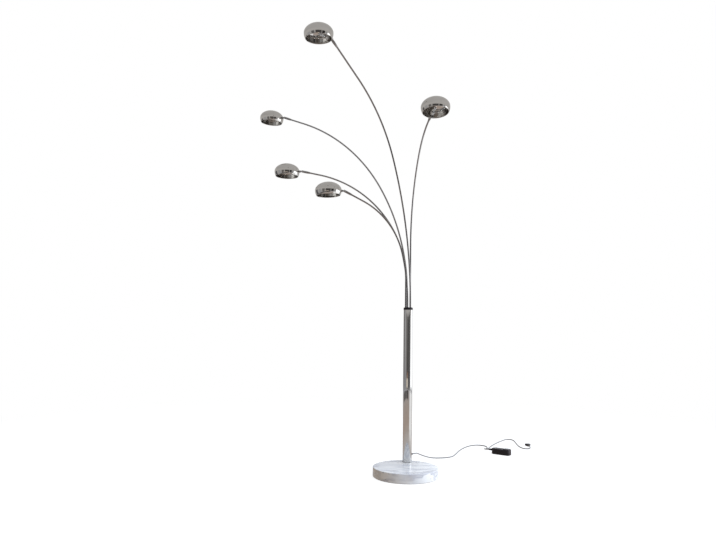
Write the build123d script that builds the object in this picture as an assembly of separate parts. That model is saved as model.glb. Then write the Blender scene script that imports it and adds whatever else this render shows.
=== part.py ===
from build123d import *
import os
from math import cos, sin, tan, sqrt, radians, pi
from collections import namedtuple

# Floor lamp with five bowed arms on a chromed pole and a round marble base.
# Millimetres. The origin is on the floor under the centre of the base, +Z up,
# +X to the right and +Y to the back as the lamp is seen from its front.

# ---------------------------------------------------------------- driving sizes
# marble base
base_d = 310.0
marble_h = 43.5
marble_top_round = 3.0
marble_bottom_round = 2.0
felt_t = 1.5
felt_inset = 4.0

# pole, off the centre of the base
pole_x = 16.5
pole_from_rim = 39.0     # from the pole's axis back to the rim of the base
pole_d = 45.0
pole_wall = 1.5
pole_len = 744.5
gasket_t = 1.0
gasket_inset = 0.2
gasket_bore_d = 20.0

# fixing of the pole through the marble
bolt_d = 12.0
bolt_head_af = 18.0
bolt_head_h = 8.0
bolt_engage = 12.0
washer_d = 36.0
washer_t = 2.5
counterbore_d = 40.0
counterbore_depth = 14.0
foot_plug_h = 16.0

# collar on top of the pole, with a bush for each arm
collar_d = 46.5
collar_h = 11.5
collar_round = 1.0
spigot_len = 18.0
hole_circle_r = 13.0
bush_wall = 0.9
bush_flange_d = 12.4
bush_flange_t = 1.2

# guide disc that carries the arms' lower ends, hung on a rod from the collar
guide_h = 14.0
guide_socket_depth = 10.0
guide_drop = 86.5        # from the top of the pole to the top of the guide
wire_hole_d = 5.5
rod_d = 8.0
rod_thread_d = 6.0
rod_engage = 12.0
rod_end_past_nut = 2.0
nut_af = 10.0
nut_h = 5.0

# arm tubes
arm_d = 8.0
arm_wall = 1.0

# sleeve and fork at each arm's end
sleeve_d = 12.0
sleeve_tail_d = 9.2
sleeve_over_arm = 20.0
sleeve_past_arm = 12.0
sleeve_tail_len = 18.0
fork_spigot_d = 6.0
fork_spigot_len = 8.0
fork_base_t = 3.0
ear_t = 3.0
ear_r = 5.5
pin_past_fork_base = 7.0
pin_d = 4.0
pin_head_d = 6.4
pin_head_t = 1.8
pin_slot_w = 1.0
pin_slot_depth = 0.9

# eye that carries the shade
eye_t = 5.0
tongue_h = 7.0
shoulder_d = 11.6
shoulder_len = 8.0
stem_d = 8.0
stem_len = 13.0
pin_to_shade = 17.0

# shade: an elliptical bun, open below
shade_d = 130.0
shade_crown = 42.0
shade_skirt_axis = 57.0
shade_skirt = 25.0
shade_wall = 1.5

# lamp holder and capsule bulb inside the shade
holder_d = 20.0
holder_len = 18.5
holder_boss_d = 11.0
holder_boss_len = 3.5
holder_wall_gap = 0.8
bulb_d = 13.0
bulb_len = 40.5
bulb_pin_d = 1.2
bulb_pin_len = 7.0
bulb_pin_pitch = 5.0

# clearances
running_gap = 0.05       # radial, shaft in its hole
fixed_gap = 0.05         # radial, pieces that are pressed or screwed together
loose_hole_gap = 0.6     # radial, bolt through the marble
washer_gap = 0.3         # radial, washer and nut on their bolt
side_gap = 0.1           # each side of the eye in its fork
guide_gap = 0.2          # radial, guide disc in the pole
pedal_gap = 0.3          # around the foot pedal

# mains lead
cord_d = 6.0
lead_height = 33.0       # above the top of the marble
lead_angle = 45.0
gland_len = 20.0
gland_root_d = 13.0
gland_tip_d = 7.6
gland_neck_d = 10.0
gland_flange_d = 12.4
gland_flange_t = 1.8
gland_flange_back = 1.6  # the flat flange stands this far inside the pole's round bore
gland_gap = 0.2          # between the grommet's cone and the pole
gland_straight = 28.0    # the lead runs straight this far from the grommet

# foot switch, lying on the floor
switch_x = 582.0
switch_y = 573.0
switch_angle = -36.0
switch_len = 105.0
switch_w = 46.0
switch_h = 31.0
switch_tray_h = 14.0
switch_wall = 2.2
switch_chamfer = 12.0
switch_corner_r = 9.0
switch_top_round = 3.0
groove_w = 1.4
groove_depth = 0.8
groove_count = 5
groove_pitch = 7.0
groove_from = -38.0
groove_to = 8.0
pedal_centre = 31.0
pedal_len = 30.0
pedal_w = 30.0
pedal_proud = 3.5
pedal_round = 2.0
pedal_flange_t = 3.0
pedal_flange_past = 2.5
pedal_travel = 3.0
pedal_stem_d = 10.0
pedal_stem_len = 6.5
pedal_stop_d = 14.0
stop_gap = 0.5
port_z = 19.5
port_pitch = 12.0
nozzle_len = 20.0
nozzle_root_d = 9.4
nozzle_tip_d = 7.4
nozzle_straight = 15.0   # each lead runs straight this far from its nozzle

# flat two-pin plug, lying on the floor
plug_x = 801.0
plug_y = 800.0
plug_angle = 86.0
plug_face_w = 35.0
plug_t = 13.7
plug_len = 34.0
plug_waist_w = 15.0
plug_round = 2.5
plug_nozzle_len = 22.0
plug_nozzle_root_d = 9.0
plug_nozzle_tip_d = 7.0
plug_straight = 32.0     # the lead runs straight this far into the plug
plug_pin_d = 4.0
plug_pin_len = 19.0
plug_pin_pitch = 18.6
plug_pin_hold = 8.0

# Each arm bows over in two arcs, from upright. Its hole's angle in the collar, the
# way it leans, the height where its bend starts, each arc's radius and angle, the
# straight length after them, and the tilt of its shade, outer edge up.
Arm = namedtuple("Arm", "number hole_angle azimuth bend_start r1 sweep1 r2 sweep2 tail tilt")
arms = [
    Arm(1, -36.0, -131.2, 810.0, 1790.0, 23.7, 764.0, 32.1, 200.0, -2.0),
    Arm(2, 36.0, -82.0, 1113.0, 628.0, 42.8, 379.0, 33.2, 22.0, 9.0),
    Arm(3, 108.0, 159.1, 860.0, 1133.0, 29.8, 897.0, 38.8, 105.0, 3.5),
    Arm(4, 180.0, 173.2, 936.0, 545.0, 31.2, 581.0, 46.4, 72.0, 0.0),
    Arm(5, -108.0, -162.0, 820.0, 1040.0, 14.1, 372.0, 52.1, 85.0, -3.0),
]

# ---------------------------------------------------------------- derived places
marble_top = felt_t + marble_h
pole_y = base_d / 2 - pole_from_rim
pole_foot = marble_top + gasket_t
pole_top = pole_foot + pole_len
pole_bore_d = pole_d - 2 * pole_wall
collar_top = pole_top + collar_h
spigot_bottom = pole_top - spigot_len
bush_d = arm_d + 2 * running_gap + 2 * bush_wall
guide_top = pole_top - guide_drop
arm_seat = guide_top - guide_socket_depth
lead_z = marble_top + lead_height
pole_place = Pos(pole_x, pole_y, 0)


def rod(d, z0, z1):
    """Round bar of diameter d along Z from z0 to z1."""
    return Pos(0, 0, z0) * Cylinder(d / 2, z1 - z0, align=(Align.CENTER, Align.CENTER, Align.MIN))


def ring(d, bore, z0, z1):
    """Round bar with a bore through it."""
    return rod(d, z0, z1) - rod(bore, z0 - 1, z1 + 1)


def taper(d0, d1, z0, z1):
    """Cone along Z, diameter d0 at z0 and d1 at z1."""
    return Pos(0, 0, z0) * Cone(d0 / 2, d1 / 2, z1 - z0, align=(Align.CENTER, Align.CENTER, Align.MIN))


def hexagon(af, z0, z1):
    """Hexagonal bar, af across its flats."""
    sketch = RegularPolygon(af / 2, 6, major_radius=False)
    return Pos(0, 0, z0) * extrude(sketch, z1 - z0)


def save(shape, node):
    shape.label = node
    export_step(shape, os.path.join("parts", node + ".step"))


def hole_place(angle):
    """Where the hole at this angle of the collar stands, seen from the pole."""
    return Pos(hole_circle_r * cos(radians(angle)), hole_circle_r * sin(radians(angle)), 0)


# ---------------------------------------------------------------- base and pole
def marble_base():
    disc = rod(base_d, felt_t, marble_top)
    disc = fillet(disc.edges().group_by(Axis.Z)[-1], marble_top_round)
    disc = fillet(disc.edges().group_by(Axis.Z)[0], marble_bottom_round)
    disc -= pole_place * rod(bolt_d + 2 * loose_hole_gap, 0, marble_top + 1)
    disc -= pole_place * rod(counterbore_d, 0, felt_t + counterbore_depth)
    return disc


def base_felt():
    return rod(base_d - 2 * felt_inset, 0, felt_t)


def pole_tube():
    tube = ring(pole_d, pole_bore_d, pole_foot, pole_top)
    side = Pos(0, 0, lead_z) * Rot(0, 0, lead_angle) * Rot(0, 90, 0)
    tube -= side * rod(gland_neck_d + 2 * fixed_gap, 0, pole_d)
    return pole_place * tube


def pole_foot_gasket():
    return pole_place * ring(pole_d - 2 * gasket_inset, gasket_bore_d, marble_top, pole_foot)


def pole_foot_plug():
    plug = rod(pole_bore_d - 2 * fixed_gap, pole_foot, pole_foot + foot_plug_h)
    plug -= rod(bolt_d + 2 * fixed_gap, pole_foot - 1, pole_foot + bolt_engage + 1)
    return pole_place * plug


washer_top = felt_t + counterbore_depth
head_top = washer_top - washer_t


def base_bolt():
    bolt = hexagon(bolt_head_af, head_top - bolt_head_h, head_top)
    bolt += rod(bolt_d, head_top, pole_foot + bolt_engage)
    return pole_place * bolt


def base_washer():
    return pole_place * ring(washer_d, bolt_d + 2 * washer_gap, head_top, washer_top)


# ---------------------------------------------------------------- collar and arm guide
def top_collar():
    body = rod(collar_d, pole_top, collar_top)
    body = fillet(body.edges().filter_by(GeomType.CIRCLE), collar_round)
    body += rod(pole_bore_d - 2 * fixed_gap, spigot_bottom, pole_top)
    for arm in arms:
        body -= hole_place(arm.hole_angle) * rod(bush_d + 2 * fixed_gap, spigot_bottom - 1, collar_top + 1)
    body -= rod(rod_d + 2 * fixed_gap, spigot_bottom - 1, spigot_bottom + rod_engage)
    return pole_place * body


def arm_bushes():
    bushes = []
    for arm in arms:
        bush = rod(bush_d, spigot_bottom, collar_top)
        bush += rod(bush_flange_d, collar_top, collar_top + bush_flange_t)
        bush -= rod(arm_d + 2 * running_gap, spigot_bottom - 1, collar_top + bush_flange_t + 1)
        bushes.append(pole_place * hole_place(arm.hole_angle) * bush)
    return Compound(children=bushes)


def arm_guide():
    disc = rod(pole_bore_d - 2 * guide_gap, guide_top - guide_h, guide_top)
    for arm in arms:
        place = hole_place(arm.hole_angle)
        disc -= place * rod(arm_d + 2 * running_gap, arm_seat, guide_top + 1)
        disc -= place * rod(wire_hole_d, guide_top - guide_h - 1, guide_top)
    disc -= rod(rod_thread_d + 2 * fixed_gap, guide_top - guide_h - 1, guide_top + 1)
    return pole_place * disc


def guide_rod():
    bar = rod(rod_d, guide_top, spigot_bottom + rod_engage)
    bar += rod(rod_thread_d, guide_top - guide_h - nut_h - rod_end_past_nut, guide_top)
    return pole_place * bar


def guide_nut():
    nut_top = guide_top - guide_h
    nut = hexagon(nut_af, nut_top - nut_h, nut_top)
    nut -= rod(rod_thread_d + 2 * fixed_gap, nut_top - nut_h - 1, nut_top + 1)
    return pole_place * nut


# ---------------------------------------------------------------- one arm
# An arm is drawn leaning towards +X with its hole's axis on Z, then turned and
# moved to its hole.
def arm_place(arm):
    return pole_place * hole_place(arm.hole_angle) * Rot(0, 0, arm.azimuth)


def bend_point(arm, angle):
    """The point of the arm's bend where it has turned by this angle from upright."""
    inside = radians(min(angle, arm.sweep1))
    spot = Vector(arm.r1 * (1 - cos(inside)), 0, arm.bend_start + arm.r1 * sin(inside))
    if angle > arm.sweep1:
        turn = radians(angle)
        spot += Vector(cos(inside) - cos(turn), 0, sin(turn) - sin(inside)) * arm.r2
    return spot


def whole_sweep(arm):
    return arm.sweep1 + arm.sweep2


def arm_direction(arm):
    turn = radians(whole_sweep(arm))
    return Vector(sin(turn), 0, cos(turn))


def arm_end(arm):
    return bend_point(arm, whole_sweep(arm)) + arm_direction(arm) * arm.tail


def end_plane(arm):
    """Z runs out along the arm's end, X is level and square to the arm."""
    return Plane(origin=arm_end(arm), x_dir=(0, 1, 0), z_dir=arm_direction(arm))


pin_from_end = sleeve_past_arm + fork_base_t + pin_past_fork_base


def pin_point(arm):
    return arm_end(arm) + arm_direction(arm) * pin_from_end


def arm_tube(arm):
    foot = Vector(0, 0, arm_seat)
    middle, whole = arm.sweep1, whole_sweep(arm)
    path = Wire([
        Edge.make_line(foot, bend_point(arm, 0)),
        Edge.make_three_point_arc(*(bend_point(arm, a) for a in (0, middle / 2, middle))),
        Edge.make_three_point_arc(*(bend_point(arm, a) for a in (middle, (middle + whole) / 2, whole))),
        Edge.make_line(bend_point(arm, whole), arm_end(arm)),
    ])
    section = Plane(origin=foot, z_dir=(0, 0, 1)) * (Circle(arm_d / 2) - Circle(arm_d / 2 - arm_wall))
    return arm_place(arm) * sweep(section, path=path)


def arm_sleeve(arm):
    body = rod(sleeve_d, sleeve_tail_len - sleeve_over_arm, sleeve_past_arm)
    body += taper(sleeve_tail_d, sleeve_d, -sleeve_over_arm, sleeve_tail_len - sleeve_over_arm)
    body -= rod(arm_d + 2 * fixed_gap, -sleeve_over_arm - 1, 0)
    body -= rod(fork_spigot_d + 2 * fixed_gap, sleeve_past_arm - fork_spigot_len - 1, sleeve_past_arm + 1)
    return arm_place(arm) * end_plane(arm).location * body


fork_gap = eye_t + 2 * side_gap
fork_w = fork_gap + 2 * ear_t


def arm_fork(arm):
    base_top = sleeve_past_arm + fork_base_t
    body = rod(fork_spigot_d, sleeve_past_arm - fork_spigot_len, sleeve_past_arm)
    body += rod(fork_w, sleeve_past_arm, base_top)
    outline = rod(sleeve_d, base_top - 1, pin_from_end + ear_r + 1)
    across = Rot(0, 90, 0)
    for side in (-1, 1):
        middle = side * (fork_gap + ear_t) / 2
        plate = Pos(middle, 0, (base_top + pin_from_end) / 2) * Box(ear_t, 2 * ear_r, pin_past_fork_base)
        plate += Pos(middle, 0, pin_from_end) * across * Cylinder(ear_r, ear_t)
        body += plate & outline
    body -= Pos(0, 0, pin_from_end) * across * Cylinder(pin_d / 2 + running_gap, 2 * fork_w)
    return arm_place(arm) * end_plane(arm).location * body


def arm_pin(arm):
    pin = rod(pin_d, -fork_w / 2, fork_w / 2)
    for side in (-1, 1):
        head = rod(pin_head_d, 0, pin_head_t)
        head = fillet(head.edges().group_by(Axis.Z)[-1], pin_head_t / 3)
        head -= Pos(0, 0, pin_head_t) * Box(pin_slot_w, pin_head_d + 1, 2 * pin_slot_depth)
        pin += Rot(0, 0 if side > 0 else 180, 0) * Pos(0, 0, fork_w / 2) * head
    across = Pos(0, 0, pin_from_end) * Rot(0, 90, 0)
    return arm_place(arm) * end_plane(arm).location * across * pin


# ---------------------------------------------------------------- one shade
# A shade is drawn with its tilt pin at the origin, reaching out along +X.
outward = Rot(0, 90, 0)
shade_centre = pin_to_shade + shade_d / 2
stem_end = pin_to_shade + stem_len
holder_start = pin_to_shade + shade_wall + holder_wall_gap
holder_end = holder_start + holder_boss_len + holder_len


def shade_place(arm):
    return arm_place(arm) * Pos(*tuple(pin_point(arm))) * Rot(0, -arm.tilt, 0)


def shade_eye(arm):
    shoulder_start = pin_to_shade - shoulder_len
    body = Rot(90, 0, 0) * Cylinder(ear_r, eye_t)
    body += Pos(shoulder_start / 2, 0, 0) * Box(shoulder_start, eye_t, tongue_h)
    collar = rod(shoulder_d, shoulder_start, pin_to_shade)
    body += outward * chamfer(collar.edges().filter_by(GeomType.CIRCLE), collar_round)
    body += outward * rod(stem_d, pin_to_shade, stem_end)
    body -= Rot(90, 0, 0) * Cylinder(pin_d / 2 + running_gap, 2 * eye_t)
    return shade_place(arm) * body


def bun(radius, crown, skirt_axis, skirt):
    """Half outline of a bun, flat below at its skirt, turned about Z."""
    rim_r = radius * (1 - (skirt / skirt_axis) ** 2) ** 0.5
    dip = -Vector(rim_r / radius, skirt / skirt_axis).get_angle(Vector(1, 0))
    outline = Wire([
        Edge.make_line((0, 0, -skirt), (rim_r, 0, -skirt)),
        Edge.make_ellipse(radius, skirt_axis, Plane.XZ, start_angle=dip, end_angle=0),
        Edge.make_ellipse(radius, crown, Plane.XZ, start_angle=0, end_angle=90),
        Edge.make_line((0, 0, crown), (0, 0, -skirt)),
    ])
    return revolve(Face(outline), Axis.Z)


def shade_dome(arm):
    body = bun(shade_d / 2, shade_crown, shade_skirt_axis, shade_skirt)
    inner_axis = shade_skirt_axis - shade_wall
    body -= bun(shade_d / 2 - shade_wall, shade_crown - shade_wall, inner_axis, shade_skirt + shade_wall)
    body = Pos(shade_centre, 0, 0) * body
    body -= outward * rod(stem_d + 2 * fixed_gap, pin_to_shade - 1, stem_end)
    return shade_place(arm) * body


def shade_holder(arm):
    boss_end = holder_start + holder_boss_len
    body = rod(holder_boss_d, holder_start, boss_end) + rod(holder_d, boss_end, holder_end)
    body -= rod(stem_d + 2 * fixed_gap, holder_start - 1, stem_end + fixed_gap)
    for side in (-1, 1):
        body -= Pos(0, side * bulb_pin_pitch / 2, 0) * rod(
            bulb_pin_d + 2 * fixed_gap, holder_end - bulb_pin_len - fixed_gap, holder_end + 1)
    return shade_place(arm) * outward * body


def shade_bulb(arm):
    tip = holder_end + bulb_len - bulb_d / 2
    body = rod(bulb_d, holder_end, tip) + Pos(0, 0, tip) * Sphere(bulb_d / 2)
    for side in (-1, 1):
        body += Pos(0, side * bulb_pin_pitch / 2, 0) * rod(bulb_pin_d, holder_end - bulb_pin_len, holder_end)
    return shade_place(arm) * outward * body


# ---------------------------------------------------------------- mains lead
gland_start = pole_d / 2 + gland_gap
gland_end = gland_start + gland_len
lead_place = pole_place * Pos(0, 0, lead_z) * Rot(0, 0, lead_angle)


def cable_grommet():
    inner_face = pole_bore_d / 2 - gland_flange_t - gland_flange_back
    body = rod(gland_flange_d, inner_face, inner_face + gland_flange_t)
    body += rod(gland_neck_d, inner_face + gland_flange_t, gland_start)
    body += taper(gland_root_d, gland_tip_d, gland_start, gland_end)
    return lead_place * outward * body


switch_place = Pos(switch_x, switch_y, 0) * Rot(0, 0, switch_angle)
nozzle_end = -switch_len / 2 - nozzle_len


def port(side, reach):
    """A point on the axis of one of the switch's two ports."""
    spot = switch_place * Pos(reach, side * port_pitch / 2, port_z)
    return tuple(spot.position)


def gland_point(reach):
    return tuple((lead_place * Pos(reach, 0, 0)).position)


plug_place = Pos(plug_x, plug_y, plug_t / 2) * Rot(0, 0, plug_angle)
floor_z = cord_d / 2

# The lead from the pole to the switch: down over the rim of the marble and
# across the floor. The points are chosen by hand.
route_to_switch = [
    gland_point(gland_end),
    gland_point(gland_end + gland_straight),
    (80, 216, 66),
    (98, 271, 50),
    (124, 330, 32),
    (158, 384, 14),
    (200, 424, 4),
    (248, 440, floor_z),
    (290, 468, floor_z),
    (318, 532, floor_z),
    (344, 610, floor_z),
    (373, 684, floor_z),
    (410, 757, floor_z),
    (456, 817, floor_z),
    (505, 838, floor_z),
    (541, 806, floor_z),
    (542, 764, floor_z),
    (532, 726, floor_z),
    (518, 693, 6),
    (507, 665, 12),
    (501, 641, 17),
    port(-1, nozzle_end - nozzle_straight),
    port(-1, nozzle_end),
]

# The lead from the switch to the plug.
route_to_plug = [
    port(1, nozzle_end),
    port(1, nozzle_end - nozzle_straight),
    (511, 645, 17),
    (515, 665, 11),
    (528, 697, 5),
    (545, 737, floor_z),
    (560, 774, floor_z),
    (577, 812, floor_z),
    (611, 880, floor_z),
    (650, 948, floor_z),
    (692, 1010, floor_z),
    (722, 1056, floor_z),
    (757, 1040, floor_z),
    (757, 975, floor_z),
    (747, 895, floor_z),
    (741, 826, floor_z),
    (743, 770, floor_z),
    (755, 737, floor_z),
    (785, 735, 3.5),
    tuple((plug_place * Pos(-plug_straight, 0, 0)).position),
    tuple(plug_place.position),
]


radius_share = 0.45      # of the shorter run at a corner, taken by its arc


def cord_tube(points, name):
    """Round cord along straight runs with an arc at each corner."""
    spots = [Vector(*p) for p in points]
    radii = []
    for before, corner, after in zip(spots, spots[1:], spots[2:]):
        run_in, run_out = corner - before, after - corner
        half_turn = radians(run_in.get_angle(run_out)) / 2
        radii.append(radius_share * min(run_in.length, run_out.length) / tan(half_turn))
    path = FilletPolyline(*points, radius=radii)
    start = Plane(origin=points[0], z_dir=spots[1] - spots[0])
    tube = sweep(start * Circle(cord_d / 2), path=path)
    expected = pi * cord_d ** 2 / 4 * path.length
    print(name, "length", round(path.length, 1), "volume over expected", round(tube.volume / expected, 4),
          "radii", [round(r) for r in radii], "least", round(min(radii), 1))
    return tube


# ---------------------------------------------------------------- foot switch
def switch_outline(inset):
    """Outline of the switch: clipped corners at the cord's end, round at the other."""
    half_l, half_w = switch_len / 2 - inset, switch_w / 2 - inset
    clip = switch_chamfer - inset * (2 - sqrt(2))
    corner = switch_corner_r - inset
    sketch = Polygon(
        (-half_l, -half_w + clip), (-half_l + clip, -half_w), (half_l, -half_w),
        (half_l, half_w), (-half_l + clip, half_w), (-half_l, half_w - clip), align=None)
    return fillet(sketch.vertices().group_by(Axis.X)[-1], corner)


switch_floor_t = 2.5
pedal_flange_top = switch_h - switch_wall
stem_bottom = pedal_flange_top - pedal_flange_t - pedal_stem_len


def switch_tray():
    body = extrude(switch_outline(0), switch_tray_h)
    body -= Pos(0, 0, switch_floor_t) * extrude(switch_outline(switch_wall), switch_tray_h)
    stop_top = stem_bottom - pedal_travel - stop_gap
    body += Pos(pedal_centre, 0, 0) * rod(pedal_stop_d, 0, stop_top)
    return switch_place * body


def switch_cover():
    body = Pos(0, 0, switch_tray_h) * extrude(switch_outline(0), switch_h - switch_tray_h)
    body = fillet(body.faces().sort_by(Axis.Z)[-1].edges(), switch_top_round)
    body -= extrude(switch_outline(switch_wall), switch_h - switch_wall)
    opening = Box(pedal_len + 2 * pedal_gap, pedal_w + 2 * pedal_gap, 4 * switch_wall)
    body -= Pos(pedal_centre, 0, switch_h) * opening
    groove_middle = (groove_from + groove_to) / 2
    for i in range(groove_count):
        offset = (i - (groove_count - 1) / 2) * groove_pitch
        groove = Box(groove_to - groove_from, groove_w, 2 * groove_depth)
        body -= Pos(groove_middle, offset, switch_h) * groove
    for side in (-1, 1):
        nozzle = taper(nozzle_tip_d, nozzle_root_d, nozzle_end, -switch_len / 2 + switch_wall / 2)
        body += Pos(0, side * port_pitch / 2, port_z) * outward * nozzle
    return switch_place * body


def switch_pedal():
    flange_l = pedal_len + 2 * pedal_flange_past
    flange_w = pedal_w + 2 * pedal_flange_past
    base = pedal_flange_top - pedal_flange_t
    button = Pos(0, 0, pedal_flange_top) * Box(
        pedal_len, pedal_w, switch_wall + pedal_proud, align=(Align.CENTER, Align.CENTER, Align.MIN))
    button = fillet(button.faces().sort_by(Axis.Z)[-1].edges(), pedal_round)
    flange = Pos(0, 0, base) * Box(
        flange_l, flange_w, pedal_flange_t, align=(Align.CENTER, Align.CENTER, Align.MIN))
    stem = rod(pedal_stem_d, stem_bottom, base)
    return switch_place * Pos(pedal_centre, 0, 0) * (button + flange + stem)


# ---------------------------------------------------------------- plug
def plug_body():
    half_face, half_waist = plug_face_w / 2, plug_waist_w / 2
    waist_end = plug_nozzle_len + plug_len
    sketch = Polygon(
        (plug_nozzle_len, -half_waist), (waist_end, -half_face),
        (waist_end, half_face), (plug_nozzle_len, half_waist), align=None)
    body = Pos(0, 0, -plug_t / 2) * extrude(sketch, plug_t)
    body = fillet(body.edges().filter_by(Axis.Z, reverse=True), plug_round)
    body += outward * taper(plug_nozzle_tip_d, plug_nozzle_root_d, 0, plug_nozzle_len + 1)
    for side in (-1, 1):
        body -= Pos(0, side * plug_pin_pitch / 2, 0) * outward * rod(
            plug_pin_d + 2 * fixed_gap, waist_end - plug_pin_hold, waist_end + 1)
    return plug_place * body


def plug_pins():
    face = plug_nozzle_len + plug_len
    pins = []
    for side in (-1, 1):
        pin = rod(plug_pin_d, face - plug_pin_hold, face + plug_pin_len)
        pin = fillet(pin.edges().group_by(Axis.Z)[-1], plug_pin_d / 4)
        pins.append(plug_place * Pos(0, side * plug_pin_pitch / 2, 0) * outward * pin)
    return Compound(children=pins)


# ---------------------------------------------------------------- write every piece
os.makedirs("parts", exist_ok=True)

save(marble_base(), "marble_base")
save(base_felt(), "base_felt")
save(pole_tube(), "pole_tube")
save(pole_foot_gasket(), "pole_foot_gasket")
save(pole_foot_plug(), "pole_foot_plug")
save(base_bolt(), "base_bolt")
save(base_washer(), "base_washer")
save(top_collar(), "top_collar")
save(arm_bushes(), "arm_bushes")
save(arm_guide(), "arm_guide")
save(guide_rod(), "guide_rod")
save(guide_nut(), "guide_nut")
save(cable_grommet(), "cable_grommet")
save(cord_tube(route_to_switch, "cord to switch"), "cord_to_switch")
save(cord_tube(route_to_plug, "cord to plug"), "cord_to_plug")
save(switch_tray(), "switch_tray")
save(switch_cover(), "switch_cover")
save(switch_pedal(), "switch_pedal")
save(plug_body(), "plug_body")
save(plug_pins(), "plug_pins")

for arm in arms:
    save(arm_tube(arm), f"arm_{arm.number}_tube")
    save(arm_sleeve(arm), f"arm_{arm.number}_sleeve")
    save(arm_fork(arm), f"arm_{arm.number}_fork")
    save(arm_pin(arm), f"arm_{arm.number}_pin")
    save(shade_eye(arm), f"shade_{arm.number}_eye")
    save(shade_dome(arm), f"shade_{arm.number}_dome")
    save(shade_holder(arm), f"shade_{arm.number}_holder")
    save(shade_bulb(arm), f"shade_{arm.number}_bulb")
    pin_spot = (shade_place(arm)).position
    print("arm", arm.number, "tilt pin at", [round(v, 2) for v in pin_spot])
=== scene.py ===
"""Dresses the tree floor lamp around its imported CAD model: camera, light, cords, turned and
bent metal, marble, foot switch and plug. Metres, in the CAD model's own frame."""
from math import asin, cos, pi, radians, sin, sqrt, tan

import bmesh
import bpy
from mathutils import Matrix, Vector


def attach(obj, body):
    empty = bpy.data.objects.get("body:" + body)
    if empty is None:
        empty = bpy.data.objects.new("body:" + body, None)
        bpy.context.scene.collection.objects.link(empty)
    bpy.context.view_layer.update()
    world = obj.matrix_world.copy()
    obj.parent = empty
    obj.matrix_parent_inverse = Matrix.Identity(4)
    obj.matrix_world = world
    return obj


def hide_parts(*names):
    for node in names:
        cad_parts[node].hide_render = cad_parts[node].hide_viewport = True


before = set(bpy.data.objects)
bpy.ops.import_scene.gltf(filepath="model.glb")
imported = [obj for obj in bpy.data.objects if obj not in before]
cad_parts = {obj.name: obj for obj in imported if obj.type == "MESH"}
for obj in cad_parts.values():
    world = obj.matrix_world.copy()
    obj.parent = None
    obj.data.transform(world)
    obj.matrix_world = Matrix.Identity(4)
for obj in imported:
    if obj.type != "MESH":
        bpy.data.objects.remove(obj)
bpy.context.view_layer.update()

# ---- sizes, as in the CAD model
base_d, marble_h, felt_t = 0.310, 0.0435, 0.0015
marble_top_round, marble_bottom_round = 0.003, 0.002
marble_top = felt_t + marble_h
counterbore_r, counterbore_top = 0.020, felt_t + 0.014
gasket_t = 0.001
pole_foot = marble_top + gasket_t
pole_d, pole_wall, pole_len = 0.045, 0.0015, 0.7445
pole_top = pole_foot + pole_len
pole_from_rim = 0.039
pole_place = Matrix.Translation((0.0165, base_d / 2 - pole_from_rim, 0))
collar_d, collar_h, collar_round = 0.0465, 0.0115, 0.001
collar_rim_in, collar_step_in, collar_step_h = 0.0035, 0.0025, 0.0006
collar_plug_gap, collar_plug_len = 0.0002, 0.018
collar_top = pole_top + collar_h
edge_round = 0.0004
bush_flange_d, bush_flange_t = 0.0124, 0.0012
bush_gap, bush_wall, bush_neck, bush_sunk = 0.0001, 0.001, 0.002, 0.0002
hole_circle_r = 0.013
arm_seat = pole_top - 0.0965
arm_d = 0.008
sleeve_d, sleeve_tail_d, sleeve_over_arm, sleeve_past_arm, sleeve_tail_len = (
    0.012, 0.0092, 0.020, 0.012, 0.018)
sleeve_seam_depth = 0.0004
pin_from_end = 0.022
pin_to_shade = 0.017
shade_d, shade_crown, shade_skirt_axis, shade_skirt, shade_wall = (
    0.130, 0.042, 0.057, 0.025, 0.0015)
shade_centre = pin_to_shade + shade_d / 2
holder_d, holder_len, holder_boss_d, holder_boss_len = 0.020, 0.0185, 0.011, 0.0035
holder_start = pin_to_shade + shade_wall + 0.0008
holder_waist_in, holder_waist = 0.0007, (0.0050, 0.0056, 0.0074, 0.0080)
holder_end = holder_start + holder_boss_len + holder_len
mouth_r, mouth_depth = 0.0078, 0.003
bulb_d, bulb_len, bulb_neck_r, bulb_neck_end, bulb_swell_end = 0.013, 0.0405, 0.0052, 0.006, 0.009
rim_bead_r = 0.0011
cord_d = 0.006

# Strain reliefs: the plain collar at the root, the neck after it, and the ribs on the cone.
relief_collar, relief_collar_round, relief_neck, relief_neck_in = 0.0015, 0.0006, 0.0028, 0.0009
rib_first, rib_last, rib_t, rib_root_in, rib_tip_in = 0.0042, 0.0014, 0.0014, 0.0016, 0.0006
lead_z = marble_top + 0.033
lead_place = pole_place @ Matrix.Translation((0, 0, lead_z)) @ Matrix.Rotation(radians(45), 4, "Z")
gland_start, gland_len = pole_d / 2 + 0.0002, 0.020
gland_root_d, gland_tip_d, gland_straight = 0.013, 0.0076, 0.028
switch_place = Matrix.Translation((0.582, 0.573, 0)) @ Matrix.Rotation(radians(-36), 4, "Z")
switch_len, switch_w, switch_h, switch_tray_h = 0.105, 0.046, 0.031, 0.014
switch_chamfer, switch_corner_r, switch_top_round = 0.012, 0.009, 0.003
switch_clip_round, switch_foot_round, switch_lip = 0.0012, 0.0012, 0.00035
groove_count, groove_pitch, groove_from, groove_to = 5, 0.007, -0.038, 0.008
groove_depth, groove_lift = 0.0008, 0.0001
pedal_centre, pedal_side, pedal_proud, pedal_gap = 0.031, 0.030, 0.0035, 0.0003
pedal_well, pedal_seat = switch_tray_h + 0.004, switch_tray_h + 0.0075
cover_edge, pedal_edge = 0.0003, 0.002
port_z, port_pitch = 0.0195, 0.012
nozzle_len, nozzle_root_d, nozzle_tip_d, nozzle_straight = 0.020, 0.0094, 0.0074, 0.015
plug_t, plug_face_w, plug_len = 0.0137, 0.035, 0.034
plug_nozzle_len, plug_straight = 0.022, 0.032
plug_pin_d, plug_pin_len, plug_pin_pitch = 0.004, 0.019, 0.0186
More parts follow.
